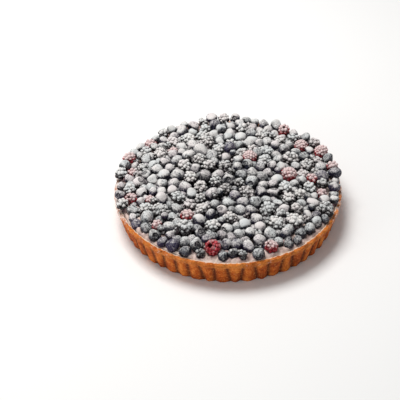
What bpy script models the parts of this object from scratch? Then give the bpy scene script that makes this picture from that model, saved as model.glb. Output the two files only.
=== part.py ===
"""Wild berry tart, 27 cm across: a fluted shortcrust shell, custard, cream and a heap of berries.

Units are metres, +Z is up, and the origin is the middle of the tart's base.
"""
import math
import random

import bmesh
import bpy
from mathutils import Matrix, Vector

# Shortcrust shell
RIM_RADIUS = 0.135
FOOT_RADIUS = 0.1280
SHELL_HEIGHT = 0.0322
LIP_HEIGHT = 0.0240
LIP_OVERHANG = 0.0022
RIM_ROUND = (0.0010, 0.0006)
RIM_EDGE_DROP = 0.0036
MOUTH_RADIUS = 0.1304
FLOOR_RADIUS = 0.1240
FLOOR_THICKNESS = 0.0045
FLUTES = 54
STEPS_PER_FLUTE = 4
FLUTE_DEPTH = 0.0024
FLUTE_FADE = 0.75
FLUTE_TURN = math.radians(0.3)
WALL_SKIN = 0.0025

# Fillings, with the gap that every piece keeps to the next
GAP = 0.0003
CUSTARD_TOP = 0.0200
CREAM_TOP = 0.0302
CREAM_EDGE = (0.0022, 0.0012)
ROUND_STEPS = 48

# Outline and dome of the berry heap
HEAP_RADIUS = 0.1372
FRONT_INSET = 0.0120
EDGE_RISE = 0.0155
BACK_RISE = 0.0015
DOME_RISE = 0.0105
DOME_EDGE = 0.120
DOME_RUN = 0.085

# How the random berries are drawn: how close they may lie, and how much smaller the last ones
# and the outermost row are
BERRY_SEED = 29
DARTS = 9000
SPREAD = 0.80
LATE_SHRINK = 0.15
EDGE_SHRINK = 0.10
SINK = (-0.0010, 0.0034)
SMALL_HALF = 0.0072

# How the berries settle: the rim as a ring of radius, height and thickness, the start and width
# of the outermost row, and how far forward a place is where that row lies inside the rim
RIM_TUBE = (0.1325, 0.0297, 0.0034)
EDGE_ROW = (0.104, 0.012)
FRONT_SHARE = 0.12
PRESSED_IN = 0.92
SETTLE_STEPS = 70
SETTLE_PULL = 0.12
SEEN_SLIDE = 0.35

# Core of the heap, the sides of the berries fused on it, and the half width under which a berry
# gets the fewest
CORE_RADIUS = 0.1245
CORE_INSET = 0.0050
CORE_SHOULDER = 0.1150
CORE_EDGE_RISE = 0.0100
CORE_FOOT = 0.0035
CORE_DROP = 0.0086
CORE_RINGS = 3
CORE_STEPS = 30
CORE_HOLD = 0.0030
BERRY_SIDES = 6
BERRY_RINGS = 4
PLAIN_HALF = 0.0078

# Each kind: length over width, the share of the random berries up to it, its widths, and how
# far its axis may stand up
STRETCH = {"blueberry": 0.86, "bramble": 1.16, "raspberry": 1.08}
SHARE = [("blueberry", 0.65), ("bramble", 0.96), ("raspberry", 1.0)]
WIDTHS = {"blueberry": (0.0130, 0.0182), "bramble": (0.0155, 0.0205), "raspberry": (0.0150, 0.0185)}
STAND = {"blueberry": 1.0, "bramble": 0.45, "raspberry": 0.45}

# The berries that stand out, as x, y and width in millimetres
SEEN = {
    "raspberry": [
        (-97, 74, 15), (-120, 44, 15), (-112, 18, 12), (-112, -32, 14), (-90, -34, 11),
        (-45, -63, 15), (-79, -75, 12), (-18, -112, 18), (70, 98, 16), (96, 72, 17),
        (115, 51, 17), (75, 10, 19), (96, 4, 13), (-67, 57, 12), (109, -21, 13),
    ],
    "bramble": [
        (-49, -84, 22), (-74, -55, 19), (-92, -48, 16), (-55, -38, 16), (-31, -17, 19),
        (76, 41, 22), (65, 76, 15), (84, 86, 15), (-127, 12, 15), (-104, 21, 14),
        (-100, 55, 16), (-64, 79, 16), (-32, 102, 15), (17, 47, 16), (32, 52, 15),
        (-1, 66, 15), (14, -15, 14), (-80, 95, 14), (107, 36, 15), (108, 71, 15),
        (-35, -40, 14), (-8, 19, 17), (17, -126, 11), (-31, -125, 11),
    ],
    "blueberry": [
        (-124, -24, 13), (-124, -7, 12), (-109, -51, 14), (-102, -69, 12), (-90, -76, 14),
        (-81, -90, 15), (-71, -99, 13), (-61, -109, 16), (-47, -116, 14), (-34, -108, 16),
        (-30, -89, 15), (-66, -78, 16), (-4, -125, 12), (5, -118, 12), (-2, -106, 15),
        (34, -122, 14), (-16, -99, 12), (-88, -13, 16), (-106, -1, 17), (-76, -35, 16),
        (-59, -51, 16), (-32, 53, 20), (1, 52, 16), (-18, 116, 15), (-59, 105, 18),
        (5, 128, 13), (17, 81, 17), (94, 49, 18), (111, 11, 18), (122, -4, 15),
        (128, 14, 16), (127, 47, 15), (98, 87, 15), (64, 112, 14), (70, 55, 17),
        (-1, -5, 16), (28, -14, 16), (-85, 19, 16),
    ],
}

# Those of them whose crown or hollow shows, by x and y, with the way it faces
FACING = {
    (-18, -112): (-0.37, -0.46, 0.81),
    (70, 98): (0.00, -0.35, 0.94),
    (5, -118): (0.10, -0.70, 0.70),
    (-1, -5): (0.00, -0.65, 0.76),
    (-81, -90): (0.20, -0.75, 0.60),
    (-30, -89): (0.10, -0.35, 0.93),
    (-34, -108): (0.35, -0.60, 0.70),
    (-31, -17): (0.05, -0.50, 0.87),
    (76, 41): (-0.10, -0.45, 0.89),
}


def smooth(value):
    """Ease a number from 0 to 1 with flat ends."""
    t = min(1.0, max(0.0, value))
    return t * t * (3.0 - 2.0 * t)


def length(x, y, z=0.0):
    return math.sqrt(x * x + y * y + z * z)


def frontness(x, y):
    """How far a place lies towards the front: 0 at the sides and the back, 1 straight ahead."""
    ahead = max(0.0, -y / max(1e-6, length(x, y)))
    return ahead * ahead


def heap_top(x, y):
    """Height that the tops of the berries follow: an edge, higher at the back, and a low dome."""
    radius = length(x, y)
    edge = EDGE_RISE + BACK_RISE * max(0.0, y) / HEAP_RADIUS
    return CREAM_TOP + edge + DOME_RISE * smooth((DOME_EDGE - radius) / DOME_RUN)


class Berry:
    """A berry as a ball for settling, with the axis that its crown or hull end points along."""

    def __init__(self, kind, x, y, width, draw, seen):
        self.kind = kind
        self.x, self.y = x, y
        self.half = width / 2
        self.ball = self.half * (1.0 + STRETCH[kind]) / 2
        self.reach = self.half * max(1.0, STRETCH[kind])
        self.seen = seen
        self.sink = draw.uniform(*SINK) + max(0.0, SMALL_HALF - self.half)
        self.z = heap_top(x, y) - self.half - self.sink
        self.axis = self.draw_axis(draw)
        facing = FACING.get((round(x * 1000), round(y * 1000)))
        if seen and facing:
            self.axis = Vector(facing).normalized()

    def draw_axis(self, draw):
        """A random direction; the long berries lie down more than they stand."""
        while True:
            x, y, z = (draw.uniform(-1.0, 1.0) for _ in range(3))
            if 0.2 < length(x, y, z) < 1.0:
                return Vector((x, y, z * STAND[self.kind])).normalized()

    def keep_in_place(self):
        """Stay near the dome's height, on the cream and inside the heap, and lie against the rim.

        The front row rests on the cream inside the rim; at the sides and the back the outermost
        berries lie on top of it.
        """
        plan = max(1e-6, length(self.x, self.y))
        front = frontness(self.x, self.y)
        rest = CREAM_TOP + self.half * PRESSED_IN * min(1.0, STRETCH[self.kind])
        target = heap_top(self.x, self.y) - self.half - self.sink
        lean = smooth((plan - EDGE_ROW[0]) / EDGE_ROW[1]) * min(1.0, front * 2)
        target += (rest - target) * lean
        self.z = max(rest, self.z + SETTLE_PULL * (target - self.z))
        inset = 0.0 if self.seen else FRONT_INSET * front
        held = CORE_RADIUS - CORE_INSET * front - CORE_HOLD + self.half
        new_plan = min(plan, HEAP_RADIUS - inset - self.reach, held)
        ring, height, tube = RIM_TUBE
        off_r, off_z, clear = new_plan - ring, self.z - height, self.reach + tube
        if length(off_r, off_z) < clear:
            if front < FRONT_SHARE:
                self.z = height + math.sqrt(clear * clear - off_r * off_r)
            else:
                new_plan = ring - math.sqrt(clear * clear - off_z * off_z)
        self.x = round(self.x * new_plan / plan, 7)
        self.y = round(self.y * new_plan / plan, 7)
        self.z = round(self.z, 7)


def seen_berries(draw):
    """The berries placed by hand."""
    return [Berry(kind, x / 1000, y / 1000, width / 1000, draw, True)
            for kind, rows in SEEN.items() for x, y, width in rows]


def thrown_berries(berries, draw):
    """Fill the heap's plan with random berries that leave room for those before them."""
    for dart in range(DARTS):
        x = draw.uniform(-HEAP_RADIUS, HEAP_RADIUS)
        y = draw.uniform(-HEAP_RADIUS, HEAP_RADIUS)
        pick = draw.random()
        kind = next(name for name, limit in SHARE if pick < limit)
        low, high = WIDTHS[kind]
        width = draw.uniform(low, high) * (1.0 - LATE_SHRINK * dart / DARTS)
        width *= 1.0 - EDGE_SHRINK * smooth((length(x, y) - EDGE_ROW[0]) / EDGE_ROW[1])
        if length(x, y) + width / 2 > HEAP_RADIUS - FRONT_INSET * frontness(x, y):
            continue
        room = all(length(x - other.x, y - other.y) > SPREAD * (width / 2 + other.half)
                   for other in berries)
        if room:
            berries.append(Berry(kind, x, y, width, draw, False))


def settle(berries):
    """Push overlapping berries apart, a little at a time, while each keeps to its place."""
    for _ in range(SETTLE_STEPS):
        for index, one in enumerate(berries):
            for other in berries[:index]:
                near = one.ball + other.ball
                dx, dy = one.x - other.x, one.y - other.y
                if abs(dx) > near or abs(dy) > near:
                    continue
                dz = one.z - other.z
                apart = length(dx, dy, dz)
                if apart >= near:
                    continue
                push = (near - apart) / max(apart, 1e-6) / 2
                for berry, way in ((one, push), (other, -push)):
                    slide = SEEN_SLIDE if berry.seen else 1.0
                    berry.x += dx * way * slide
                    berry.y += dy * way * slide
                    berry.z += dz * way
        for berry in berries:
            berry.keep_in_place()


def heap_berries():
    """All the berries of the heap's top, the same on each run."""
    draw = random.Random(BERRY_SEED)
    berries = seen_berries(draw)
    thrown_berries(berries, draw)
    settle(berries)
    return berries


def clear_scene():
    for obj in list(bpy.data.objects):
        bpy.data.objects.remove(obj)


def material(name, color, roughness):
    mat = bpy.data.materials.new(name)
    mat.use_nodes = True
    shader = mat.node_tree.nodes["Principled BSDF"]
    shader.inputs["Base Color"].default_value = (*color, 1.0)
    shader.inputs["Roughness"].default_value = roughness
    shader.inputs["Metallic"].default_value = 0.0
    mat.diffuse_color = (*color, 1.0)
    return mat


def apply_modifiers(obj):
    """Replace an object's mesh by the one its modifiers give."""
    mesh = bpy.data.meshes.new_from_object(obj.evaluated_get(bpy.context.evaluated_depsgraph_get()))
    obj.modifiers.clear()
    obj.data = mesh


def turned(name, profile, steps, collection):
    """A solid of revolution from (radius, height) points, outer side top to bottom."""
    mesh = bpy.data.meshes.new(name)
    edges = [(i, i + 1) for i in range(len(profile) - 1)]
    mesh.from_pydata([(radius, 0.0, height) for radius, height in profile], edges, [])
    obj = bpy.data.objects.new(name, mesh)
    collection.objects.link(obj)
    screw = obj.modifiers.new("Turn", "SCREW")
    screw.steps = steps
    screw.render_steps = steps
    screw.use_merge_vertices = True
    screw.merge_threshold = 0.00001
    screw.use_smooth_shade = True
    return obj


def wall_radius(height):
    """Inner radius of the slanting crust wall at a height."""
    return FLOOR_RADIUS + (MOUTH_RADIUS - FLOOR_RADIUS) * height / SHELL_HEIGHT


def make_crust(collection):
    """The shell: a turned profile whose outer wall is then pressed into flutes."""
    rim = SHELL_HEIGHT
    profile = [
        (0.0, FLOOR_THICKNESS),
        (wall_radius(FLOOR_THICKNESS), FLOOR_THICKNESS),
        (MOUTH_RADIUS, rim),
        (RIM_RADIUS - RIM_ROUND[0], rim - RIM_ROUND[1]),
        (RIM_RADIUS, rim - RIM_EDGE_DROP),
        (RIM_RADIUS - LIP_OVERHANG, LIP_HEIGHT),
        (FOOT_RADIUS, 0.0),
        (0.0, 0.0),
    ]
    crust = turned("crust", profile, FLUTES * STEPS_PER_FLUTE, collection)
    apply_modifiers(crust)
    for vertex in crust.data.vertices:
        plan = length(vertex.co.x, vertex.co.y)
        if plan < wall_radius(vertex.co.z) + WALL_SKIN:
            continue
        angle = math.atan2(vertex.co.x, -vertex.co.y) - FLUTE_TURN
        groove = 1.0 - abs(math.sin(angle * FLUTES / 2))
        fade = 1.0 - FLUTE_FADE * smooth((vertex.co.z - LIP_HEIGHT) / (rim - LIP_HEIGHT))
        pressed = (plan - FLUTE_DEPTH * groove * fade) / plan
        vertex.co.x *= pressed
        vertex.co.y *= pressed
    crust.data.set_sharp_from_angle(angle=math.radians(35))
    crust.data.materials.append(material("baked shortcrust", (0.52, 0.24, 0.08), 0.75))
    return crust


def make_custard(collection):
    """The set custard that fills the shell's lower part."""
    bottom = FLOOR_THICKNESS + GAP
    profile = [
        (0.0, CUSTARD_TOP),
        (wall_radius(CUSTARD_TOP) - GAP, CUSTARD_TOP),
        (wall_radius(bottom) - GAP, bottom),
        (0.0, bottom),
    ]
    custard = turned("custard", profile, ROUND_STEPS, collection)
    custard.data.materials.append(material("baked custard", (0.85, 0.50, 0.08), 0.5))
    return custard


def make_cream(collection):
    """The layer of cream that the berries lie on, with a soft edge along the crust."""
    bottom = CUSTARD_TOP + GAP
    profile = [
        (0.0, CREAM_TOP),
        (MOUTH_RADIUS - CREAM_EDGE[0], CREAM_TOP),
        (wall_radius(CREAM_TOP) - GAP, CREAM_TOP - CREAM_EDGE[1]),
        (wall_radius(bottom) - GAP, bottom),
        (0.0, bottom),
    ]
    cream = turned("cream", profile, ROUND_STEPS, collection)
    cream.data.materials.append(material("whipped cream", (0.86, 0.82, 0.78), 0.6))
    return cream


def heap_core(name, collection):
    """The smaller core that the showing berries are fused on, drawn in at the front."""
    profile = []
    for ring in range(CORE_RINGS + 1):
        radius = CORE_SHOULDER * ring / CORE_RINGS
        profile.append((radius, heap_top(radius, 0.0) - CORE_DROP))
    profile.append((CORE_RADIUS, CREAM_TOP + CORE_EDGE_RISE))
    profile.append((CORE_RADIUS, CREAM_TOP - CORE_FOOT))
    profile.append((0.0, CREAM_TOP - CORE_FOOT))
    core = turned(name, profile, CORE_STEPS, collection)
    apply_modifiers(core)
    for vertex in core.data.vertices:
        inset = 1.0 - CORE_INSET / CORE_RADIUS * frontness(vertex.co.x, vertex.co.y)
        vertex.co.x *= inset
        vertex.co.y *= inset
    return core


def berry_solid(index, berry, collection):
    """A berry with few sides, the small ones with fewest, stretched along its axis and placed."""
    shape = bmesh.new()
    if berry.half < PLAIN_HALF:
        bmesh.ops.create_icosphere(shape, subdivisions=1, radius=berry.half)
    else:
        bmesh.ops.create_uvsphere(shape, u_segments=BERRY_SIDES, v_segments=BERRY_RINGS,
                                  radius=berry.half)
    turn = berry.axis.to_track_quat("Z", "Y").to_matrix().to_4x4()
    place = Matrix.Translation((berry.x, berry.y, berry.z))
    bmesh.ops.transform(shape, matrix=place @ turn @ Matrix.Diagonal((1, 1, STRETCH[berry.kind], 1)),
                        verts=shape.verts)
    mesh = bpy.data.meshes.new(f"{berry.kind}_{index}")
    shape.to_mesh(mesh)
    shape.free()
    collection.objects.link(bpy.data.objects.new(mesh.name, mesh))


def keep_largest_body(mesh):
    """Drop the loose scraps and sealed hollows that the union leaves."""
    shape = bmesh.new()
    shape.from_mesh(mesh)
    unseen = set(shape.verts)
    bodies = []
    while unseen:
        body = set()
        front = [unseen.pop()]
        while front:
            vertex = front.pop()
            body.add(vertex)
            for edge in vertex.link_edges:
                other = edge.other_vert(vertex)
                if other in unseen:
                    unseen.remove(other)
                    front.append(other)
        bodies.append(body)
    bodies.sort(key=len)
    for scrap in bodies[:-1]:
        bmesh.ops.delete(shape, geom=list(scrap), context="VERTS")
    shape.to_mesh(mesh)
    shape.free()


def flatten_underside(mesh):
    """Cut the heap off just above the cream, and close the cut."""
    shape = bmesh.new()
    shape.from_mesh(mesh)
    everything = list(shape.verts) + list(shape.edges) + list(shape.faces)
    cut = bmesh.ops.bisect_plane(shape, geom=everything, dist=1e-7, plane_co=(0, 0, CREAM_TOP + GAP),
                                 plane_no=(0, 0, 1), clear_inner=True)
    border = [item for item in cut["geom_cut"] if isinstance(item, bmesh.types.BMEdge)]
    bmesh.ops.holes_fill(shape, edges=border, sides=0)
    bmesh.ops.triangulate(shape, faces=shape.faces)
    shape.to_mesh(mesh)
    shape.free()


def make_berry_heap(collection, scrap):
    """Core and berries in one union, flat where they lie on the cream."""
    heap = heap_core("berry_heap", collection)
    for index, berry in enumerate(heap_berries()):
        berry_solid(index, berry, scrap)
    union = heap.modifiers.new("Fuse", "BOOLEAN")
    union.operation = "UNION"
    union.operand_type = "COLLECTION"
    union.collection = scrap
    union.solver = "EXACT"
    apply_modifiers(heap)
    for obj in list(scrap.objects):
        bpy.data.objects.remove(obj)
    flatten_underside(heap.data)
    keep_largest_body(heap.data)
    heap.data.materials.append(material("frosted berries", (0.20, 0.19, 0.24), 0.7))
    return heap


def main():
    clear_scene()
    parts = bpy.data.collections.new("wild_berry_tart")
    scrap = bpy.data.collections.new("berries_to_fuse")
    bpy.context.scene.collection.children.link(parts)
    bpy.context.scene.collection.children.link(scrap)
    root = bpy.data.objects.new("wild_berry_tart_root", None)
    parts.objects.link(root)
    for make in (make_crust, make_custard, make_cream):
        make(parts).parent = root
    make_berry_heap(parts, scrap).parent = root


main()
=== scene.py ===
"""Wild berry tart, 27 cm across: the looks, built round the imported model.

Units are metres, +Z is up, and the origin is the middle of the tart's base. The berries lie where
the model's own rule puts them, so the rule and its sizes are repeated here.
"""
import math
import random

import bmesh
import bpy
import numpy as np
from mathutils import Matrix, Vector, noise


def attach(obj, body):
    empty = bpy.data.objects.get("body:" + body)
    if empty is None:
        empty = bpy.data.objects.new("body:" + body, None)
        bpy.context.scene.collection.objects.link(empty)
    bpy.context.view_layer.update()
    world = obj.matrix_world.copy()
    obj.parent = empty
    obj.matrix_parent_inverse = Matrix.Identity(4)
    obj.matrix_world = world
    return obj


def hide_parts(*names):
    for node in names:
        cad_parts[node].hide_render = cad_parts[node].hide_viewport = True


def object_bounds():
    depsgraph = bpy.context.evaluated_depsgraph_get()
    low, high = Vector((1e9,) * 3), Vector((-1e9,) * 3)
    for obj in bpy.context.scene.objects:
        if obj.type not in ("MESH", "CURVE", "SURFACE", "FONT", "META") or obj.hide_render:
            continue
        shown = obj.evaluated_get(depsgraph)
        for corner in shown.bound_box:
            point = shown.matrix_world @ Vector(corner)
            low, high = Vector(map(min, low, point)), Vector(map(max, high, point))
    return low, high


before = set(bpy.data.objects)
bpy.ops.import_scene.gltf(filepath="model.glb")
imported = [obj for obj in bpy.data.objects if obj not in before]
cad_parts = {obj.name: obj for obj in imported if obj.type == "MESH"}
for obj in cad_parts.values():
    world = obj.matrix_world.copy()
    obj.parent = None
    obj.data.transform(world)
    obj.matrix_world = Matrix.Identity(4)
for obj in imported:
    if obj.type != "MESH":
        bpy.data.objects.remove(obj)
cad_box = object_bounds()

# Shortcrust shell, as in the model
RIM_RADIUS = 0.135
FOOT_RADIUS = 0.1280
SHELL_HEIGHT = 0.0322
LIP_HEIGHT = 0.0240
LIP_OVERHANG = 0.0022
MOUTH_RADIUS = 0.1304
FLOOR_RADIUS = 0.1240
FLOOR_THICKNESS = 0.0045
FLUTES = 54
FLUTE_DEPTH = 0.0024
FLUTE_FADE = 0.75
FLUTE_TURN = math.radians(0.3)
GAP = 0.0003
CUSTARD_TOP = 0.0200
CREAM_TOP = 0.0302

# Berry heap, as in the model: its plan and height, and how berries are thrown and settle
HEAP_RADIUS = 0.1372
FRONT_INSET = 0.0120
EDGE_RISE = 0.0155
BACK_RISE = 0.0015
DOME_RISE = 0.0105
DOME_EDGE = 0.120
DOME_RUN = 0.085
BERRY_SEED = 29
DARTS = 9000
SPREAD = 0.80
LATE_SHRINK = 0.15
EDGE_SHRINK = 0.10
SINK = (-0.0010, 0.0034)
SMALL_HALF = 0.0072
RIM_TUBE = (0.1325, 0.0297, 0.0034)
EDGE_ROW = (0.104, 0.012)
FRONT_SHARE = 0.12
PRESSED_IN = 0.92
SETTLE_STEPS = 70
SETTLE_PULL = 0.12
SEEN_SLIDE = 0.35
CORE_RADIUS = 0.1245
CORE_INSET = 0.0050
CORE_HOLD = 0.0030
STRETCH = {"blueberry": 0.86, "bramble": 1.16, "raspberry": 1.08}
SHARE = [("blueberry", 0.65), ("bramble", 0.96), ("raspberry", 1.0)]
WIDTHS = {"blueberry": (0.0130, 0.0182), "bramble": (0.0155, 0.0205), "raspberry": (0.0150, 0.0185)}
STAND = {"blueberry": 1.0, "bramble": 0.45, "raspberry": 0.45}

# Berries placed one by one: x, y and width in millimetres
SEEN = {
    "raspberry": [
        (-97, 74, 15), (-120, 44, 15), (-112, 18, 12), (-112, -32, 14), (-90, -34, 11),
        (-45, -63, 15), (-79, -75, 12), (-18, -112, 18), (70, 98, 16), (96, 72, 17),
        (115, 51, 17), (75, 10, 19), (96, 4, 13), (-67, 57, 12), (109, -21, 13),
    ],
    "bramble": [
        (-49, -84, 22), (-74, -55, 19), (-92, -48, 16), (-55, -38, 16), (-31, -17, 19),
        (76, 41, 22), (65, 76, 15), (84, 86, 15), (-127, 12, 15), (-104, 21, 14),
        (-100, 55, 16), (-64, 79, 16), (-32, 102, 15), (17, 47, 16), (32, 52, 15),
        (-1, 66, 15), (14, -15, 14), (-80, 95, 14), (107, 36, 15), (108, 71, 15),
        (-35, -40, 14), (-8, 19, 17), (17, -126, 11), (-31, -125, 11),
    ],
    "blueberry": [
        (-124, -24, 13), (-124, -7, 12), (-109, -51, 14), (-102, -69, 12), (-90, -76, 14),
        (-81, -90, 15), (-71, -99, 13), (-61, -109, 16), (-47, -116, 14), (-34, -108, 16),
        (-30, -89, 15), (-66, -78, 16), (-4, -125, 12), (5, -118, 12), (-2, -106, 15),
        (34, -122, 14), (-16, -99, 12), (-88, -13, 16), (-106, -1, 17), (-76, -35, 16),
        (-59, -51, 16), (-32, 53, 20), (1, 52, 16), (-18, 116, 15), (-59, 105, 18),
        (5, 128, 13), (17, 81, 17), (94, 49, 18), (111, 11, 18), (122, -4, 15),
        (128, 14, 16), (127, 47, 15), (98, 87, 15), (64, 112, 14), (70, 55, 17),
        (-1, -5, 16), (28, -14, 16), (-85, 19, 16),
    ],
}
# Which way the crown or the hollow of some of them points, by place
FACING = {
    (-18, -112): (-0.37, -0.46, 0.81), (70, 98): (0.00, -0.35, 0.94),
    (5, -118): (0.10, -0.70, 0.70), (-1, -5): (0.00, -0.65, 0.76),
    (-81, -90): (0.20, -0.75, 0.60), (-30, -89): (0.10, -0.35, 0.93),
    (-34, -108): (0.35, -0.60, 0.70), (-31, -17): (0.05, -0.50, 0.87),
    (76, 41): (-0.10, -0.45, 0.89),
}

# The share of the usual icing sugar on some of them, by place
SPOT_SUGAR = {
    (-124, -24): 0.42, (-102, -69): 0.65, (-61, -109): 0.50, (-18, 116): 0.35, (1, 52): 0.35,
    (94, 49): 0.60, (111, 11): 0.65, (127, 47): 0.60, (128, 14): 0.60, (-81, -90): 0.80,
    (-16, -99): 0.45, (-30, -89): 0.80, (-49, -84): 0.80, (-18, -112): 0.30, (96, 4): 0.80,
    (-127, 12): 1.60,
}
# The tint of the most violet blueberries, and their places
VIOLET = 0.7
VIOLET_SPOTS = ((-124, -24), (-61, -109), (-102, -69), (111, 11), (-71, -99))
PIECE_NAMES = {"blueberry": "blueberries", "bramble": "brambles", "raspberry": "raspberries"}

# Icing sugar by kind: how far it follows the whole berry and not its beads, how much lies on a
# thrown berry, and how bare the joints between its beads are
ROUND_SHARE = {"blueberry": 0.0, "bramble": 0.6, "raspberry": 0.8}
THROWN_SUGAR = {"blueberry": 1.0, "bramble": 1.0, "raspberry": 1.8}
BARE_JOINTS = {"blueberry": 1.0, "bramble": 1.0, "raspberry": 0.15}
CROWN_BARE = 0.6
# Share of sugar left on the lower berries, which darkens them as painted shade deep in the gaps
LOW_SUGAR_AND_SHADE = 0.7

# Icing sugar by place: more outwards, but thinner near the edge at the front and the right
SUGAR_MIDDLE = 0.88
SUGAR_OUTWARD = 0.44
SUGAR_RUN = 0.11
THIN_FROM = 0.092
THIN_RUN = 0.036
THIN_FRONT = 0.82
THIN_RIGHT = 0.30

# Lower berries, which show through the gaps; their distances apart are shares of their sizes
LOWER_SEED = 11
LOWER_DARTS = 9000
LOWER_HALF = (0.0042, 0.0084)
LOWER_REACH = 0.1350
LOWER_DEEPEST = 0.0215
LOWER_APART = 0.78
LOWER_TOUCH = 0.80
LOWER_PRESSED = 0.64
LOWER_ROW = 0.1215
LOWER_IN_CREAM = 0.8
LOWER_ON_RIM = 0.5
LOWER_SIZE_WEIGHT = 1.3
LOWER_BLUEBERRIES = 0.7

# Modelled berries, in half widths, but for the beads' pitches and the sizes, in metres
MODEL_SEED = 3
BLUEBERRY_SIDES = 20
BLUEBERRY_RINGS = 11
BLUEBERRY_MODELS = 6
CROWN_LINE = 0.95
CROWN_POINTS = 5
CROWN_CUT = 0.085
CROWN_FLARE = 0.16
FLATS = 6
WRINKLE = 0.085
LOW_SIDES = 12
LOW_RINGS = 8
DRUPELET_SIDES = 7
DRUPELET_RINGS = 5
DRUPELET_CUT = -0.30
BRAMBLE_PITCH = 0.0041
BRAMBLE_SIZES = (0.0060, 0.0072, 0.0084, 0.0096)
BRAMBLE_BEAD_HEIGHT = 0.60
BRAMBLE_CROWDING = 1.10
HEX_AREA = 0.866
HULL_PIT = 0.35
RASPBERRY_PITCH = 0.0035
RASPBERRY_SIZES = (0.0062, 0.0074, 0.0088)
RASPBERRY_BEAD_HEIGHT = 0.58
RASPBERRY_SPAN = math.radians(146)
ROW_STEP = 0.88
GOLDEN_TURN = math.pi * (3 - math.sqrt(5))

# The share of thrown berries' upward crowns that turn down, and the margin inside the model's box
CROWNS_DOWN = 0.6
EDGE_MARGIN = 0.0001

# Fine mesh of the shell, and its relief: the rounding and waves of the lip, lumps and crumb
SHELL_SEED = 5
SHELL_STEPS = 24
SHELL_CUTS = 18
RIM_LOOPS = 6
RIM_MARGIN = 0.0003
WALL_LOOPS = 4
WALL_LOOP = 0.0012
CREASE_POWER = 0.8
LIP_ROUND = 0.0012
LIP_WAVE = 0.0016
LIP_WANDER = 0.0012
SIDE_LUMPS = 0.00045
SIDE_CRUMB = 0.00020
TOP_LUMPS = 0.00045
EDGE_CRUMB = 0.0010
WALL_CRUMB = 0.0008

# Fine mesh of the cream, where it is pushed up, and how it falls away at its edge
CREAM_STEPS = 576
CREAM_LOOPS = 27
CREAM_LOOP = 0.0013
CREAM_TOUCH = 0.004
CREAM_PUSH = 0.0028
CREAM_FALL = 0.0024
CREAM_EDGE_DROP = 0.0008

# The core that the scene has in place of the model's: lower, smaller, lumpy, and dark as painted shade
CORE_STEPS = 96
CORE_LOOPS = 36
CORE_LOOP = 0.003
CORE_DISC = 0.004
CORE_EDGE = 0.006
CORE_FOOT = 0.001
CORE_SLOPE = 0.009
CORE_DROP = 0.0150
CORE_LUMPS = 0.0022
CORE_DRAWN = 1.6

# Sugar and its tones as linear colours, and how its grain and pits break it up
SUGAR = (0.80, 0.775, 0.755, 1.0)
DAMP_GREY = (0.72, 0.74, 0.74)
DAMP_PINK = (0.78, 0.72, 0.72)
PINK_SUGAR = (0.78, 0.66, 0.65, 1.0)
SUGAR_ROUGHNESS = 0.9
GRAIN_SPAN = 3.4
PIT_DEPTH = 0.6

# Setting: the floor, the light, and the camera, fitted to the rim's ellipse
FLOOR_DROP = 0.0002
LAMP_COLOR = (1.0, 0.99, 0.97)
ROOM_LIGHT = 0.32
CAMERA_ELEVATION = math.radians(40.8)
CAMERA_DISTANCE = 1.05
CAMERA_LENS = 78.12
CAMERA_SENSOR = 36.0
CAMERA_SHIFT = (-0.070, 0.01625)

# Places as near as this count as the same, and the least divisor
NEAR = 1e-5
TINY = 1e-6


def smooth(value):
    """Ease a number from 0 to 1 with flat ends."""
    t = min(1.0, max(0.0, value))
    return t * t * (3.0 - 2.0 * t)


def smooth_array(values):
    """The same for an array of numbers."""
    t = np.clip(values, 0.0, 1.0)
    return t * t * (3.0 - 2.0 * t)


def length(x, y, z=0.0):
    """Distance of a place from the origin."""
    return math.sqrt(x * x + y * y + z * z)


def frontness(x, y):
    """How far a place lies towards the front: 0 at the sides and the back, 1 straight ahead."""
    ahead = max(0.0, -y / max(TINY, length(x, y)))
    return ahead * ahead


def heap_top(x, y):
    """Height that the tops of the berries follow: an edge, higher at the back, and a low dome."""
    radius = length(x, y)
    edge = EDGE_RISE + BACK_RISE * max(0.0, y) / HEAP_RADIUS
    return CREAM_TOP + edge + DOME_RISE * smooth((DOME_EDGE - radius) / DOME_RUN)


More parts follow.
